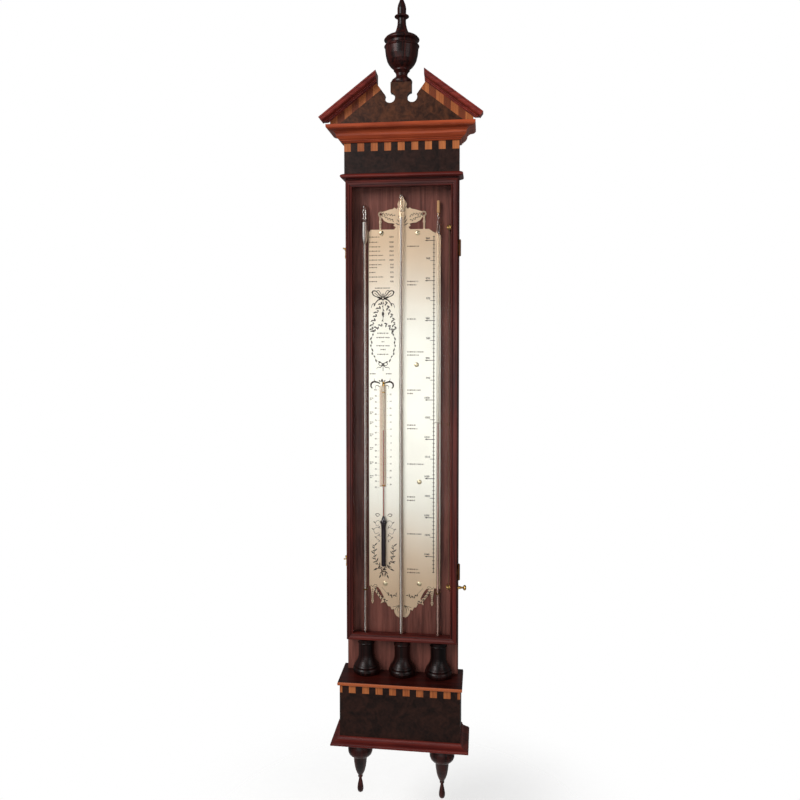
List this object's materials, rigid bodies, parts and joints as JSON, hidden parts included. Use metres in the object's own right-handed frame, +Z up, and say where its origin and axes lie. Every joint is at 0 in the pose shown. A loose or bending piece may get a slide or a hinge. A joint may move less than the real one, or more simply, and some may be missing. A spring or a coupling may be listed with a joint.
{
  "type": "wall barometer",
  "caption": "Glazed wall barometer with mercury tubes, thermometer, pierced brass scale and a pointer driven by a knob and cord, in an inlaid case with a pediment, gallery and box.",
  "frame": {"origin": "centre of the hanging hole, at the back face on the wall plane", "axes": "+Z up, +X to the right as seen from the front, +Y into the wall; the front faces -Y"},
  "size_m": [0.2498, 0.0787, 1.2476],
  "materials": {
    "mahogany": "french polished",
    "dark_mahogany": "french polished",
    "ebonised": "polished",
    "satinwood": "polished",
    "red_wood": "polished",
    "boxwood": "turned",
    "lacquered_brass": "lacquered",
    "engraved_brass": "silvered and lacquered",
    "dark_brass": "darkened",
    "tube_glass": "clear",
    "pane_glass": "clear",
    "mercury": "liquid",
    "red_liquid": "liquid",
    "spirit": "liquid",
    "ivory": "satin",
    "guard": "turned and polished",
    "cord": "twisted",
    "cork": "matt"
  },
  "bodies": {
    "case": {"back_board": "mahogany", "hanger_plate": "lacquered_brass", "brass_screws": "lacquered_brass", "case_side_left": "mahogany", "case_side_right": "mahogany", "case_top_board": "mahogany", "case_bottom_board": "mahogany", "frieze_board": "dark_mahogany", "frieze_inlay": "satinwood", "torus_moulding": "mahogany", "cornice": "mahogany", "tympanum": "dark_mahogany", "pediment_inlay_light": "satinwood", "pediment_inlay_red": "red_wood", "raking_cornices": "mahogany", "finial": "ebonised", "scale_plate": "engraved_brass", "thermometer_plate": "ivory", "thermometer_tube": "tube_glass", "thermometer_spirit": "spirit", "thermometer_guard": "guard", "thermometer_clips": "lacquered_brass", "contra_tube": "tube_glass", "contra_mercury": "mercury", "contra_liquid": "red_liquid", "tube_staples": "lacquered_brass", "tube_bearers": "dark_mahogany", "barometer_tube": "tube_glass", "barometer_mercury": "mercury", "cistern_cup": "boxwood", "cistern_lid": "boxwood", "balusters": "ebonised", "shelf_board": "mahogany", "box_front": "dark_mahogany", "box_inlay": "satinwood", "box_sides": "dark_mahogany", "box_floor": "dark_mahogany", "plinth_moulding": "mahogany", "pendants": "ebonised", "spindle_bush": "lacquered_brass", "idler_stud": "lacquered_brass", "cord_loop": "cord", "hinge_case_leaves": "dark_brass", "hinge_pins": "dark_brass", "hook_pivots": "lacquered_brass"},
    "door": {"door_stile_left": "mahogany", "door_stile_right": "mahogany", "door_rail_top": "mahogany", "door_rail_bottom": "mahogany", "door_glass": "pane_glass", "glazing_beads": "mahogany", "hinge_door_leaves": "dark_brass", "hook_pins": "lacquered_brass"},
    "hook_upper": {"hook_upper": "lacquered_brass"},
    "hook_lower": {"hook_lower": "lacquered_brass"},
    "spindle": {"knob_spindle": "lacquered_brass", "drive_pulley": "lacquered_brass"},
    "idler": {"idler_pulley": "lacquered_brass"},
    "pointer": {"pointer": "lacquered_brass"},
    "cork": {"cork_stopper": "cork"}
  },
  "joints": [
    {"name": "door_hinge", "type": "hinge", "parent": "case", "child": "door", "pos_m": [0.0896, -0.0298, -0.4], "axis": [0, 0, 1], "range_deg": [0, 95]},
    {"name": "hook_upper_swing", "type": "hinge", "parent": "case", "child": "hook_upper", "pos_m": [-0.0897, -0.023, -0.14], "axis": [1, 0, 0], "range_deg": [0, 270]},
    {"name": "hook_lower_swing", "type": "hinge", "parent": "case", "child": "hook_lower", "pos_m": [-0.0897, -0.023, -0.631], "axis": [1, 0, 0], "range_deg": [0, 270]},
    {"name": "knob_turn", "type": "hinge", "parent": "case", "child": "spindle", "pos_m": [0.0735, -0.024, -0.6732], "axis": [1, 0, 0], "range_deg": [-4120, 3420]},
    {"name": "idler_turn", "type": "hinge", "parent": "case", "child": "idler", "pos_m": [0.0735, -0.024, -0.1085], "axis": [1, 0, 0], "range_deg": [-4120, 3420]},
    {"name": "pointer_slide", "type": "slide", "parent": "case", "child": "pointer", "axis": [0, 0, 1], "range_m": [-0.232, 0.28]},
    {"name": "cork_lift", "type": "slide", "parent": "case", "child": "cork", "axis": [0, 0, 1], "range_m": [0, 0.02]}
  ],
  "couplings": [
    {"joint": "idler_turn", "follows": "pointer_slide", "rad_per_m": -256.41},
    {"joint": "knob_turn", "follows": "pointer_slide", "rad_per_m": -256.41}
  ]
}
